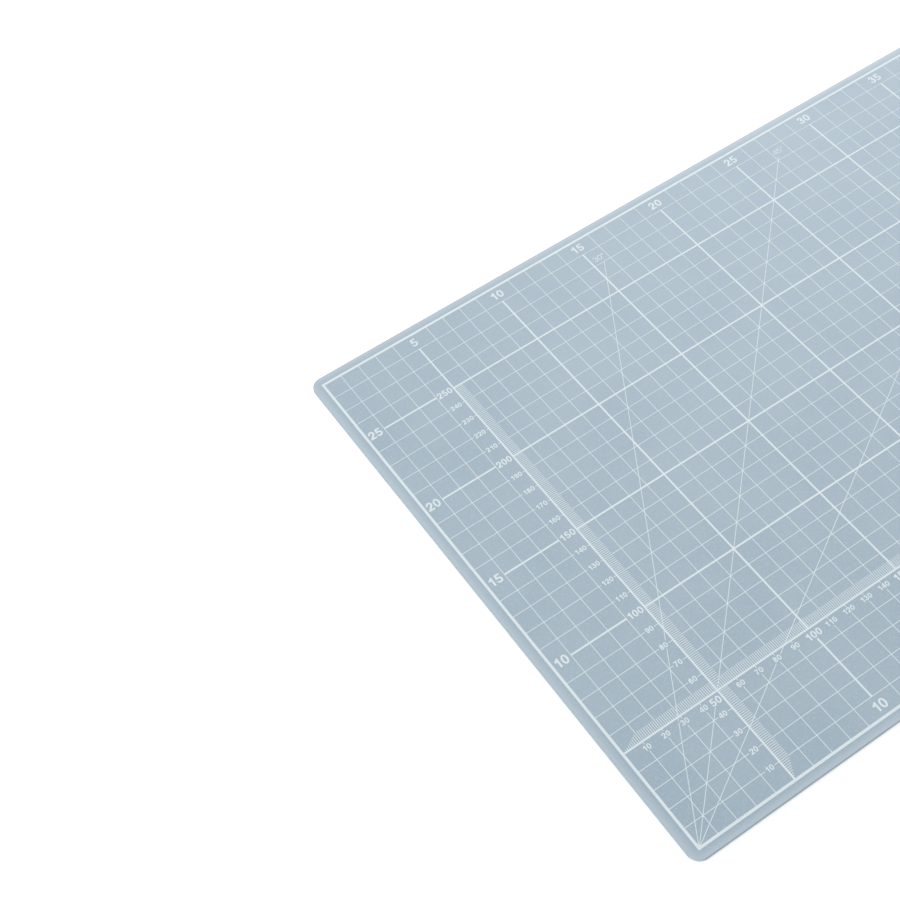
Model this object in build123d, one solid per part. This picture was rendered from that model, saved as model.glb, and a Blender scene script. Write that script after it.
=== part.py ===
from build123d import *
import math
import os

# Self-healing cutting mat, A3 class. Millimetres, Z up, sheet centred on the origin, underside on Z = 0.
# A three-ply PVC laminate with a white screen print on its upper face. Nothing moves.

# ---- driving dimensions: the laminate ----
MAT_LENGTH = 450.0  # along X
MAT_WIDTH = 300.0  # along Y
SKIN = 0.8  # soft self-healing PVC, one ply above and one below the core
CORE = 0.4  # harder PVC sheet that stops the blade
CORNER_R = 6.0  # plan radius of the four corners
EDGE_R = 0.35  # the die-cut rim is slightly rolled above and below
INK = 0.04  # dry film thickness of the white print

# ---- driving dimensions: the print ----
CM = 10.0
FRAME_LENGTH, FRAME_WIDTH = 440.0, 290.0  # centre line of the border
SHIFT_X = 0.5  # the print sits this far right of the sheet's centre
COLUMNS, ROWS = 44, 29  # centimetre cells inside the border
BORDER = 1.3  # line widths
BOLD = 0.90
RULE = 0.85
FINE = 0.32
TICK = 0.3
ANGLE = 0.32

RULE_AT = 5  # the two millimetre rules lie on the fifth centimetre line
RULE_Y_END, RULE_X_END = 250, 400  # last millimetre of each rule
TICK_REACH = 5.0  # tick length measured from the rule's centre line
BOLD_TOP, BOLD_RIGHT = 28, 43  # bold lines stop one cell short of the border

# ---- driving dimensions: the figures ----
EDGE_H = 4.8  # cap heights
LARGE_H = 3.6
SMALL_H = 2.65
DEGREE_H = 3.4
DIGIT_W = 0.68  # width and pitch of one digit as a share of its height
DIGIT_PITCH = 0.77
CLEAR = 0.6  # lines stop this far from a figure

SURFACE = 2 * SKIN + CORE
ORIGIN_X = SHIFT_X - FRAME_LENGTH / 2
ORIGIN_Y = -FRAME_WIDTH / 2


# ---- two-dimensional helpers: all in print coordinates, millimetres from the border's near left corner ----
def bar(x0, y0, x1, y1):
    """A rectangle between two corners."""
    return Pos((x0 + x1) / 2, (y0 + y1) / 2) * Rectangle(abs(x1 - x0), abs(y1 - y0))


def up_line(x, y0, y1, width):
    return bar(x - width / 2, y0, x + width / 2, y1)


def cross_line(y, x0, x1, width):
    return bar(x0, y - width / 2, x1, y + width / 2)


def outline(*points):
    return make_face(Polyline(*points, close=True))


def faces_of(shapes):
    found = []
    for shape in shapes:
        found += list(shape.faces())
    return found


def film(shapes):
    """The ink film over flat shapes: one solid for each separate face, lying on the upper skin."""
    place = Pos(ORIGIN_X, ORIGIN_Y, SURFACE)
    return [place * extrude(face, amount=INK, dir=(0, 0, 1)).solid() for face in faces_of(shapes)]


def save(name, solids):
    os.makedirs("parts", exist_ok=True)
    shape = solids[0] if len(solids) == 1 else Compound(solids)
    export_step(shape, f"parts/{name}.step")
    print(name, "solids", len(solids))


# ---- digits, drawn one unit high from rings, bars and straight-sided shapes ----
def ring(x, y, rx, ry, stroke):
    thin = 0.88 * stroke  # the strokes are a little thinner where they run across
    return Pos(x, y) * (Ellipse(rx, ry) - Ellipse(rx - stroke, ry - thin))


def draw_digits(s):
    """The ten digits and the degree sign as sketches, for a stem of s."""
    w = DIGIT_W
    h = w / 2
    t = 0.88 * s
    zero = ring(h, 0.5, h, 0.5, s)
    one = outline((0.36, 0), (0.36 + s, 0), (0.36 + s, 1), (0.22 + s, 1), (0.30, 0.86),
                  (0.12, 0.80), (0.12, 0.80 - t), (0.36, 0.80 - t))
    bowl = ring(h, 0.68, 0.33, 0.32, s) - bar(-0.1, 0.3, 0.42, 0.64) - bar(0.3, 0.2, 0.8, 0.60)
    neck = outline((0.67 - s, 0.66), (0.67, 0.66), (0.61, 0.48), (0.10 + s, t * 0.9), (0, 0),
                   (0, 0.06), (0.07, 0.20), (0.60 - s, 0.58))
    two = bowl + neck + bar(0, 0, w - 0.02, t)
    three = ring(0.33, 0.735, 0.29, 0.265, s) + ring(0.33, 0.285, 0.34, 0.285, s)
    three -= bar(-0.1, 0.31, 0.28, 0.70)
    stem = 0.60
    four = outline((stem - s, 0), (stem, 0), (stem, 0.22), (w + 0.01, 0.22), (w + 0.01, 0.22 + t),
                   (stem, 0.22 + t), (stem, 1), (stem - s, 1), (0, 0.22 + t), (0, 0.22), (stem - s, 0.22))
    four -= outline((stem - s, 0.22 + t), (stem - s, 0.98 - 1.1 * s), (0.06 + 0.45 * s, 0.22 + t))
    five = ring(0.33, 0.325, 0.34, 0.325, s) - bar(-0.1, 0.27, 0.02 + s, 0.75)
    five += outline((0.03, 0.46), (0.10, 1), (0.62, 1), (0.62, 1 - t), (0.08 + s, 1 - t),
                    (0.05 + s, 0.62), (0.02 + s, 0.46))
    six = ring(h, 0.5, h, 0.5, s) - bar(h, 0.2, 0.9, 0.70) - bar(-0.1, -0.1, 0.9, 0.33)
    six += ring(h, 0.325, h, 0.325, s)
    seven = outline((0.02, 1 - t), (0.02, 1), (0.67, 1), (0.67, 0.88), (0.42, 0.42), (0.16 + s, 0),
                    (0.14, 0), (0.40 - s, 0.40), (0.64 - s, 1 - t))
    eight = ring(h, 0.74, 0.30, 0.26, s) + ring(h, 0.285, h, 0.285, s)
    nine = Pos(w, 1) * Rot(0, 0, 180) * six
    degree = ring(0.17, 0.83, 0.17, 0.17, 0.75 * min(s, 0.12))
    glyphs = dict(zip("0123456789", (zero, one, two, three, four, five, six, seven, eight, nine)))
    glyphs["°"] = degree
    return glyphs


BOLD_DIGITS = draw_digits(0.20)
LIGHT_DIGITS = draw_digits(0.12)
sized = {}


def figure(text, x, y, height, light=False):
    """A figure centred on (x, y): its digits, ready to be laid as film."""
    glyphs = LIGHT_DIGITS if light else BOLD_DIGITS
    start = x - figure_width(text, height) / 2
    placed = []
    for index, char in enumerate(text):
        key = (char, height, light)
        if key not in sized:
            sized[key] = scale(Sketch(glyphs[char].faces()), by=height)
        placed.append(Pos(start + index * DIGIT_PITCH * height, y - height / 2) * sized[key])
    return placed


def figure_width(text, height):
    return ((len(text) - 1) * DIGIT_PITCH + DIGIT_W) * height


def figure_box(text, x, y, height):
    """The area lines keep out of around a figure."""
    half = figure_width(text, height) / 2 + CLEAR
    return (x - half, y - height / 2 - CLEAR, x + half, y + height / 2 + CLEAR)


# ---- where every figure stands ----
RULE_LINE = RULE_AT * CM
IN_X, IN_Y = FRAME_LENGTH - BORDER / 2, FRAME_WIDTH - BORDER / 2  # inner edges of the border
IN_0 = BORDER / 2

edge_top = [(str(k), k * CM, 285.0, EDGE_H) for k in range(5, 45, 5)]
edge_bottom = [(str(k), k * CM, 5.2, EDGE_H) for k in range(10, 45, 5)]
edge_left = [(str(k), 4.9, k * CM, EDGE_H) for k in range(10, 30, 5)]
edge_right = [(str(k), 435.0, k * CM, EDGE_H) for k in range(5, 30, 5)]

tens_y = [(str(k), 44.8, float(k), SMALL_H) for k in range(10, 250, 10) if k % 50]
fifties_y = [(str(k), 44.8, float(k), LARGE_H) for k in range(100, 251, 50)]
tens_x = [(str(k), float(k), 46.8, SMALL_H) for k in range(10, RULE_X_END, 10) if k % 50]
fifties_x = [(str(k), float(k), 46.5, LARGE_H) for k in range(100, RULE_X_END + 1, 50)]
corner_fifty = [("50", 46.3, 46.6, LARGE_H)]

# ---- the laminate ----
plan = RectangleRounded(MAT_LENGTH, MAT_WIDTH, CORNER_R)
bottom_skin = extrude(plan, amount=SKIN)
bottom_skin = fillet(bottom_skin.faces().sort_by(Axis.Z)[0].edges(), EDGE_R)
core = Pos(0, 0, SKIN) * extrude(plan, amount=CORE)
top_skin = Pos(0, 0, SKIN + CORE) * extrude(plan, amount=SKIN)
top_skin = fillet(top_skin.faces().sort_by(Axis.Z)[-1].edges(), EDGE_R)
save("bottom_skin", [bottom_skin.solid()])
save("core_sheet", [core.solid()])
save("top_skin", [top_skin.solid()])

# ---- border ----
border = bar(-IN_0, -IN_0, FRAME_LENGTH + IN_0, FRAME_WIDTH + IN_0) - bar(IN_0, IN_0, IN_X, IN_Y)
save("border_line", film([border]))


# ---- the two millimetre rules: a line and its ticks each; the grid lines themselves mark the centimetres ----
def tick_end(mm):
    """How far from the rule's centre line the tick at this millimetre reaches."""
    reach = min(TICK_REACH, TICK_REACH * mm / CM)  # growing over the first centimetre
    past_corner = mm - RULE_LINE
    if 0 < past_corner < TICK_REACH:
        reach = past_corner  # the two rules meet in a mitre
    return reach


def ticks(first, last, upright):
    """One tick every millimetre but the tens, standing on a rule's edge."""
    found = []
    for mm in range(first, last + 1):
        reach = RULE_LINE + tick_end(mm)
        if mm % CM == 0 or reach <= RULE_LINE + half_rule + 0.2:
            continue
        if upright:
            found.append(up_line(mm, RULE_LINE + half_rule, reach, TICK))
        else:
            found.append(cross_line(mm, RULE_LINE + half_rule, reach, TICK))
    return found


half_rule = RULE / 2
rule_y = [up_line(RULE_LINE, IN_0, BOLD_TOP * CM + FINE / 2, RULE)]
rule_x = [cross_line(RULE_LINE, IN_0, RULE_LINE - half_rule, RULE),
          cross_line(RULE_LINE, RULE_LINE + half_rule, BOLD_RIGHT * CM + FINE / 2, RULE)]
ticks_x = ticks(1, 49, True) + ticks(51, RULE_X_END - 1, True)
ticks_y = ticks(1, RULE_Y_END - 1, False)
save("rule_line_x", film(rule_x))
save("rule_line_y", film(rule_y))
save("rule_millimetres_x", film(ticks_x))
save("rule_millimetres_y", film(ticks_y))

# ---- bold five-centimetre lines: broken where the rules, their figures and each other cross ----
low_gap = figure_box(*fifties_x[0])[1]  # bold uprights stop here, below the rule figures
left_gap = figure_box(*fifties_y[0])[0]  # bold crosslines stop here, left of the rule figures
bold_lines = []
for k in range(10, 45, 5):
    bold_lines.append(up_line(k * CM, RULE_LINE + half_rule, BOLD_TOP * CM + FINE / 2, BOLD))
    bold_lines.append(up_line(k * CM, CM - FINE / 2, low_gap, BOLD))
for k in range(10, 30, 5):
    bold_lines.append(cross_line(k * CM, RULE_LINE + half_rule, BOLD_RIGHT * CM + FINE / 2, BOLD))
bold_net = Sketch() + bold_lines
bold_left = [cross_line(k * CM, CM - FINE / 2, left_gap, BOLD) for k in range(10, 30, 5)]
five_cm = [bold_net] + bold_left
save("five_centimetre_lines", film(five_cm))

# ---- fine centimetre lines, block by block between the bold ones ----
stub = 1.0  # short piece of line left between a rule figure and its rule


def upright_spans(k):
    """The stretches of the fine line at k centimetres along X, from the near border to the far one."""
    rule_low, rule_high = RULE_LINE - half_rule, RULE_LINE + half_rule
    if k % 5 == 0:
        return []
    spans = [(IN_0, rule_low), (rule_high, IN_Y)]
    if k * CM < RULE_X_END:
        box = figure_box(str(int(k * CM)), k * CM, 46.8, SMALL_H)
        spans = [(IN_0, box[1]), (rule_low - stub, rule_low), (rule_high, IN_Y)]
    return spans


def crossline_spans(k):
    """The stretches of the fine line at k centimetres along Y, from the left border to the right one."""
    rule_low, rule_high = RULE_LINE - half_rule, RULE_LINE + half_rule
    if k % 5 == 0:
        return []
    if k * CM > RULE_Y_END:
        return [(IN_0, rule_low), (rule_high, IN_X)]
    box = figure_box(str(int(k * CM)), 44.8, k * CM, SMALL_H)
    return [(IN_0, box[0]), (min(box[2], rule_low - stub), rule_low), (rule_high, IN_X)]


def clip(spans, low, high):
    return [(max(a, low), min(b, high)) for a, b in spans if min(b, high) - max(a, low) > 1e-6]


def blocks(count, inner):
    """The clear widths between the bold lines in one direction, from border to border."""
    marks = [IN_0]
    for k in range(5, count, 5):
        half = half_rule if k == RULE_AT else BOLD / 2
        marks += [k * CM - half, k * CM + half]
    marks.append(inner)
    return list(zip(marks[0::2], marks[1::2]))


fine = []
for x_low, x_high in blocks(COLUMNS, IN_X):
    for y_low, y_high in blocks(ROWS, IN_Y):
        pieces = []
        for k in range(int(x_low // CM) + 1, int(x_high // CM) + 1):
            for a, b in clip(upright_spans(k), y_low, y_high):
                pieces.append(up_line(k * CM, a, b, FINE))
        for k in range(int(y_low // CM) + 1, int(y_high // CM) + 1):
            for a, b in clip(crossline_spans(k), x_low, x_high):
                pieces.append(cross_line(k * CM, a, b, FINE))
        fine.append(Sketch() + pieces)
save("centimetre_grid", film(fine))

# ---- figures ----
groups = {
    "edge_numbers_top": edge_top,
    "edge_numbers_bottom": edge_bottom,
    "edge_numbers_left": edge_left,
    "edge_numbers_right": edge_right,
    "rule_y_tens": tens_y,
    "rule_y_fifties": fifties_y,
    "rule_x_tens": tens_x,
    "rule_x_fifties": fifties_x,
    "rule_corner_fifty": corner_fifty,
}
for name, labels in groups.items():
    shapes = []
    for text, x, y, height in labels:
        shapes += figure(text, x, y, height)
    save(name, film(shapes))

# ---- angle lines from the border's corner, named by the angle each makes with the upright side ----
angle_ends = {30: 311.5, 45: 384.6, 60: 484.0}
angle_labels = {30: ("30°", 155.7, 273.6), 45: ("45°", 274.8, 275.4), 60: ("60°", 424.5, 246.0)}
grid_faces = faces_of([border] + five_cm + rule_x + rule_y + ticks_x + ticks_y + fine)
boxes = [figure_box(*label) for label in tens_y + fifties_y + tens_x + fifties_x + corner_fifty]
gaps = [bar(x0 + 0.2, y0 + 0.2, x1 - 0.2, y1 - 0.2) for x0, y0, x1, y1 in boxes]
gaps.append(bar(RULE_LINE - 4, RULE_LINE - 4, RULE_LINE + 1, RULE_LINE + 1))  # the corner the rules make


def near_ray(face, slope_deg):
    """True if the ray from the corner at this slope passes within a line's width of the face's box."""
    box = face.bounding_box()
    rise = math.tan(math.radians(slope_deg))
    corners = [(x, y) for x in (box.min.X, box.max.X) for y in (box.min.Y, box.max.Y)]
    sides = [y - rise * x for x, y in corners]
    return min(sides) < 1 and max(sides) > -1


for degrees, length in angle_ends.items():
    slope = 90 - degrees
    ray = Rot(0, 0, slope) * bar(0.5, -ANGLE / 2, length, ANGLE / 2)
    tools = [face for face in grid_faces + faces_of(gaps) if near_ray(face, slope)]
    pieces = [face for face in (ray - tools).faces() if face.area > 0.005]
    save(f"angle_line_{degrees}", film(pieces))
    text, x, y = angle_labels[degrees]
    save(f"angle_label_{degrees}", film(figure(text, x, y, DEGREE_H, light=True)))
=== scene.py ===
# %% [markdown]
# # A self-healing cutting mat, step by step
# A cutting mat is a thin sandwich: two skins of soft PVC that close up again behind a blade, with a harder
# sheet between them that stops the point. A white grid is screen printed on the upper skin. The shapes are
# already exact, down to each printed figure, so this lesson is about light and surface: how pale plastic,
# dry ink and a bright bench look together.

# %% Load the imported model
import math

import bpy
from mathutils import Euler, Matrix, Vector


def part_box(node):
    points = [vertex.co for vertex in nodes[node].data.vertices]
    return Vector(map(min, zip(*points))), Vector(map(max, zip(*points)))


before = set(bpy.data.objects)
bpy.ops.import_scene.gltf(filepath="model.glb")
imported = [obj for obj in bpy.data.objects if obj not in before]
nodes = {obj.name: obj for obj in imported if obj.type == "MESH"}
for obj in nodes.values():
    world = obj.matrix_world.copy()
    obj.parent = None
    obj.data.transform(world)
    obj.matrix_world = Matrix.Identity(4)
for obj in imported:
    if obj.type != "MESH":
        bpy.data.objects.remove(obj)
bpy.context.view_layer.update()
mat_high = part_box("top_skin")[1]
half_length, half_width = mat_high.x, mat_high.y
print("pieces", len(nodes), "half length", round(half_length, 4), "half width", round(half_width, 4))

# %% [markdown]
# ## Helpers for materials
# Each finish below is a small graph of shader nodes. A graph is easier to read when every node is made in one
# line and wired by name, so a few helpers come first. All the textures use Object coordinates: a node of this
# model sits at the origin, so those are metres on the real mat, and a pattern's size can be given in
# millimetres.


# %% Node helpers
def new_finish(name):
    """A material with an empty graph but for its Principled shader and its object coordinates."""
    finish = bpy.data.materials.new(name)
    finish.use_nodes = True
    graph = finish.node_tree
    graph.nodes.clear()
    output = graph.nodes.new("ShaderNodeOutputMaterial")
    shader = graph.nodes.new("ShaderNodeBsdfPrincipled")
    graph.links.new(shader.outputs["BSDF"], output.inputs["Surface"])
    place = graph.nodes.new("ShaderNodeTexCoord").outputs["Object"]
    return finish, graph, shader, place


def speckle(graph, place, size_mm, detail=2.0, roughness=0.5):
    """Noise whose blobs are about this many millimetres across, from 0 to 1."""
    noise = graph.nodes.new("ShaderNodeTexNoise")
    noise.inputs["Scale"].default_value = 1000.0 / size_mm
    noise.inputs["Detail"].default_value = detail
    noise.inputs["Roughness"].default_value = roughness
    graph.links.new(place, noise.inputs["Vector"])
    return noise.outputs["Fac"]


def remap(graph, value, low, high, to_low, to_high):
    """Stretches the part of value between low and high over to_low..to_high, and holds it outside."""
    node = graph.nodes.new("ShaderNodeMapRange")
    for name, number in (("From Min", low), ("From Max", high), ("To Min", to_low), ("To Max", to_high)):
        node.inputs[name].default_value = number
    graph.links.new(value, node.inputs["Value"])
    return node.outputs["Result"]


def blend_colours(graph, amount, first, second):
    """Goes from the first colour to the second as amount goes from 0 to 1. Either may be a socket."""
    node = graph.nodes.new("ShaderNodeMix")
    node.data_type = "RGBA"
    graph.links.new(amount, node.inputs["Factor"])
    for socket, colour in ((node.inputs[6], first), (node.inputs[7], second)):
        if isinstance(colour, tuple):
            socket.default_value = (*colour, 1.0)
        else:
            graph.links.new(colour, socket)
    return node.outputs[2]


def calculate(graph, operation, first, second=None):
    """One Math node. Each input is a socket or a number."""
    node = graph.nodes.new("ShaderNodeMath")
    node.operation = operation
    for socket, value in zip(node.inputs, (first, second)):
        if value is None:
            continue
        if isinstance(value, (int, float)):
            socket.default_value = value
        else:
            graph.links.new(value, socket)
    return node.outputs[0]


def emboss(graph, shader, height, depth_mm):
    """Feeds a height from 0 to 1 to the shader's normal as relief this deep."""
    bump = graph.nodes.new("ShaderNodeBump")
    bump.inputs["Strength"].default_value = 1.0
    bump.inputs["Distance"].default_value = depth_mm / 1000.0
    graph.links.new(height, bump.inputs["Height"])
    graph.links.new(bump.outputs["Normal"], shader.inputs["Normal"])


def dress(names, finish):
    """Gives these nodes the finish in every material slot they have."""
    for name in names:
        for index in range(len(nodes[name].data.materials)):
            nodes[name].data.materials[index] = finish
        if not nodes[name].data.materials:
            nodes[name].data.materials.append(finish)
    print(finish.name, "on", len(names), "pieces")


# %% [markdown]
# ## How far a point is from the rim
# The plastic is slightly see-through. Over the middle of the sheet, light that goes in is mostly swallowed,
# but within a few millimetres of the rim it comes back out, so a real mat is paler round its edge. Ray-traced
# scattering could do this, but it is slow and noisy in a sheet 2 mm thick. It depends only on the distance
# to the rim, which simple arithmetic on the coordinates gives: half the length less |x|, half the width less
# |y|, whichever is smaller. A soft minimum rounds the crease where the two meet at a corner.


# %% Distance to the rim
corner_blend = 0.004


def rim_distance(graph, place):
    """Metres from the sheet's rim, measured flat."""
    parts = graph.nodes.new("ShaderNodeSeparateXYZ")
    graph.links.new(place, parts.inputs["Vector"])
    from_end = calculate(graph, "SUBTRACT", half_length, calculate(graph, "ABSOLUTE", parts.outputs["X"]))
    from_side = calculate(graph, "SUBTRACT", half_width, calculate(graph, "ABSOLUTE", parts.outputs["Y"]))
    nearest = graph.nodes.new("ShaderNodeMath")
    nearest.operation = "SMOOTH_MIN"
    nearest.inputs[2].default_value = corner_blend
    graph.links.new(from_end, nearest.inputs[0])
    graph.links.new(from_side, nearest.inputs[1])
    return nearest.outputs[0]


# %% [markdown]
# ## The soft PVC skins
# The skin is a cool, pale blue-grey. Close to, it isn't even: the compound has cloudy patches a few
# centimetres wide, a fine pale speckle under a millimetre across, and a matt grain pressed in by the roller
# that stops paper sliding. The clouds and the speckle vary the colour, the speckle also breaks up the sheen,
# and the grain gives the relief. Towards the rim the colour goes to a paler one, a painted glow for the light
# that scatters back out near the edge, and the upright cut wall carries painted shade, darker than either.

# %% Soft PVC
skin_tint = (0.266, 0.348, 0.419)
skin_cloud = (0.282, 0.367, 0.432)
skin_fleck = (0.352, 0.434, 0.500)
painted_rim_glow = (0.380, 0.455, 0.512)
painted_wall_shade = (0.255, 0.318, 0.358)
cloud_mm, fleck_mm, grain_mm = 45.0, 0.8, 0.35
grain_depth_mm = 0.012
glow_reach = 0.0042
wall_shade_inner, wall_shade_outer = 0.0004, 0.0001

soft_pvc, graph, shader, place = new_finish("soft self-healing PVC")
clouds = speckle(graph, place, cloud_mm, detail=3.0)
flecks = speckle(graph, place, fleck_mm, detail=3.0, roughness=0.7)
grain = speckle(graph, place, grain_mm)
from_rim = rim_distance(graph, place)
colour = blend_colours(graph, remap(graph, clouds, 0.38, 0.62, 0.0, 1.0), skin_tint, skin_cloud)
colour = blend_colours(graph, remap(graph, flecks, 0.50, 0.78, 0.0, 1.0), colour, skin_fleck)
# painted light: the skin goes paler within glow_reach of the rim, standing in for light scattered back out of
# the edge
colour = blend_colours(graph, remap(graph, from_rim, 0.0, glow_reach, 1.0, 0.0), colour, painted_rim_glow)
# painted shade: the cut wall and the outer few tenths of a millimetre of the top are darkened, standing in
# for the shade on the sheet's side
colour = blend_colours(graph, remap(graph, from_rim, wall_shade_outer, wall_shade_inner, 1.0, 0.0), colour, painted_wall_shade)
graph.links.new(colour, shader.inputs["Base Color"])
graph.links.new(remap(graph, flecks, 0.3, 0.8, 0.50, 0.64), shader.inputs["Roughness"])
shader.inputs["IOR"].default_value = 1.53
emboss(graph, shader, grain, grain_depth_mm)
dress(["top_skin", "bottom_skin"], soft_pvc)

# %% [markdown]
# ## The hard core
# Only the cut edge of the core shows, a line under half a millimetre high between the skins. It is the same
# compound with less plasticiser, so it is a little glossier, and the die that cut it left fine upright drag
# marks. Noise stretched along the height makes those.

# %% Hard PVC
core_tint = (0.25, 0.32, 0.36)
core_pale = (0.31, 0.38, 0.42)
drag_mm = 0.5
drag_stretch = 0.08
drag_depth_mm = 0.02

hard_pvc, graph, shader, place = new_finish("hard PVC core")
stretch = graph.nodes.new("ShaderNodeMapping")
stretch.inputs["Scale"].default_value = (1.0, 1.0, drag_stretch)
graph.links.new(place, stretch.inputs["Vector"])
drag = speckle(graph, stretch.outputs["Vector"], drag_mm, detail=4.0, roughness=0.65)
colour = blend_colours(graph, remap(graph, drag, 0.35, 0.65, 0.0, 1.0), core_tint, core_pale)
graph.links.new(colour, shader.inputs["Base Color"])
graph.links.new(remap(graph, drag, 0.3, 0.7, 0.34, 0.5), shader.inputs["Roughness"])
emboss(graph, shader, drag, drag_depth_mm)
dress(["core_sheet"], hard_pvc)

# %% [markdown]
# ## The white print
# The ink is pressed through a fine mesh and dries to a film thinner than a hair. It is not pure white: a
# little of the blue skin comes through, more where the film is thin, and its surface keeps a trace of the
# mesh. A worn noise makes the thin places, stronger in some patches than others, and two crossed waves a
# quarter of a millimetre apart make the mesh. A Wave texture repeats every 2 pi / 20 units at scale 1, which
# gives the scale for any pitch.

# %% White ink
ink_white = (0.598, 0.672, 0.700)
ink_thin = (0.500, 0.590, 0.635)
worn_mm, patch_mm = 0.8, 12.0
mesh_pitch = 0.00025
mesh_depth_mm = 0.004
wave_scale = 2 * math.pi / mesh_pitch / 20.0

white_ink, graph, shader, place = new_finish("white screen ink")
thin = speckle(graph, place, worn_mm, detail=4.0, roughness=0.7)
patchy = speckle(graph, place, patch_mm)
worn = remap(graph, thin, 0.48, 0.75, 0.0, 0.9)
weak = calculate(graph, "MULTIPLY", worn, remap(graph, patchy, 0.3, 0.7, 0.4, 1.0))
graph.links.new(blend_colours(graph, weak, ink_white, ink_thin), shader.inputs["Base Color"])
graph.links.new(remap(graph, thin, 0.3, 0.8, 0.60, 0.78), shader.inputs["Roughness"])
shader.inputs["Specular IOR Level"].default_value = 0.35
waves = []
for direction in ("X", "Y"):
    wave = graph.nodes.new("ShaderNodeTexWave")
    wave.bands_direction = direction
    wave.inputs["Scale"].default_value = wave_scale
    graph.links.new(place, wave.inputs["Vector"])
    waves.append(wave.outputs["Fac"])
emboss(graph, shader, calculate(graph, "MULTIPLY", *waves), mesh_depth_mm)
plies = ("top_skin", "core_sheet", "bottom_skin")
dress([name for name in nodes if name not in plies], white_ink)

# %% [markdown]
# ## The bench and the wall
# The mat lies on a plain bright surface with a faint tooth. The bench also gives off a little light of its
# own, like a light table, which washes out the shadow under the sheet. A low view would look past the far
# edge of the bench, so a plain wall in the same finish stands all round it, far enough away to add almost no
# light.

# %% Bench and wall
bench_size = 40.0
bench_drop = 0.0001
bench_glow = 0.45
tooth_mm = 3.0
wall_radius, wall_height = 20.0, 4.0

paper, graph, shader, place = new_finish("pale bench")
tooth = speckle(graph, place, tooth_mm, detail=3.0)
colour = blend_colours(graph, tooth, (0.93, 0.93, 0.93), (0.95, 0.95, 0.95))
graph.links.new(colour, shader.inputs["Base Color"])
shader.inputs["Roughness"].default_value = 0.9
shader.inputs["Specular IOR Level"].default_value = 0.0
shader.inputs["Emission Color"].default_value = (1.0, 1.0, 1.0, 1.0)
shader.inputs["Emission Strength"].default_value = bench_glow


def set_stage(name):
    """Names the object just made and gives it the bench's finish."""
    piece = bpy.context.object
    piece.name = name
    piece.data.materials.append(paper)
    print(name, [round(side, 2) for side in piece.dimensions])


bpy.ops.mesh.primitive_plane_add(size=bench_size, location=(0, 0, -bench_drop))
set_stage("bench")
bpy.ops.mesh.primitive_cylinder_add(
    vertices=96, radius=wall_radius, depth=wall_height, end_fill_type="NOTHING",
    location=(0, 0, wall_height / 2),
)
set_stage("wall")

# %% [markdown]
# ## Light
# The look is a bright, nearly shadowless studio: white light from everywhere, and one big soft panel beyond
# the far right corner. Even a matt surface mirrors a panel a little, so the mat gets gently paler towards
# that corner, which shows that it is smooth plastic and not card. A small panel low on the left barely
# touches the top, but it lights the left wall of the sheet, so the near wall reads as the dark one.

# %% World and panels
room_light = 0.60

world = bpy.data.worlds.new("white room")
world.use_nodes = True
background = world.node_tree.nodes["Background"]
background.inputs["Color"].default_value = (1.0, 1.0, 1.0, 1.0)
background.inputs["Strength"].default_value = room_light
bpy.context.scene.world = world


def soft_panel(name, place, aim, size, power):
    """A square area light that looks from one point to another."""
    lamp = bpy.data.lights.new(name, "AREA")
    lamp.shape = "SQUARE"
    lamp.size = size
    lamp.energy = power
    holder = bpy.data.objects.new(name, lamp)
    holder.location = place
    holder.rotation_euler = (Vector(aim) - Vector(place)).to_track_quat("-Z", "Y").to_euler()
    bpy.context.scene.collection.objects.link(holder)
    print(name, power, "W")


soft_panel("far panel", (2.6, 2.9, 2.9), (0.1, 0.1, 0.0), 2.4, 190.0)
soft_panel("left panel", (-2.4, 0.6, 0.5), (-0.2, 0.0, 0.0), 1.0, 35.0)

# %% [markdown]
# ## Camera
# The camera looks down over the near left corner, about 80 cm away, and leans a few degrees, so the long side
# climbs to the upper right and runs out of the frame. A lens of about 67 mm keeps the grid's lines nearly
# parallel without flattening the sheet. It isn't shifted sideways, so a view from any other side holds the
# whole mat.

# %% Camera
eye = Vector((-0.40121, -0.32167, 0.64800))
aim = Vector((-0.19125, 0.07583, 0.00200))
lean = math.radians(-7.470)

camera_data = bpy.data.cameras.new("camera")
camera_data.lens = 66.75
camera_data.sensor_width = 36.0
camera_data.clip_start = 0.01
camera = bpy.data.objects.new("camera", camera_data)
camera.location = eye
camera.rotation_mode = "QUATERNION"
camera.rotation_quaternion = (aim - eye).to_track_quat("-Z", "Y") @ Euler((0.0, 0.0, lean)).to_quaternion()
bpy.context.scene.collection.objects.link(camera)
bpy.context.scene.camera = camera
bpy.context.scene.view_settings.view_transform = "Standard"
print("camera", round((aim - eye).length, 3), "m from its aim")
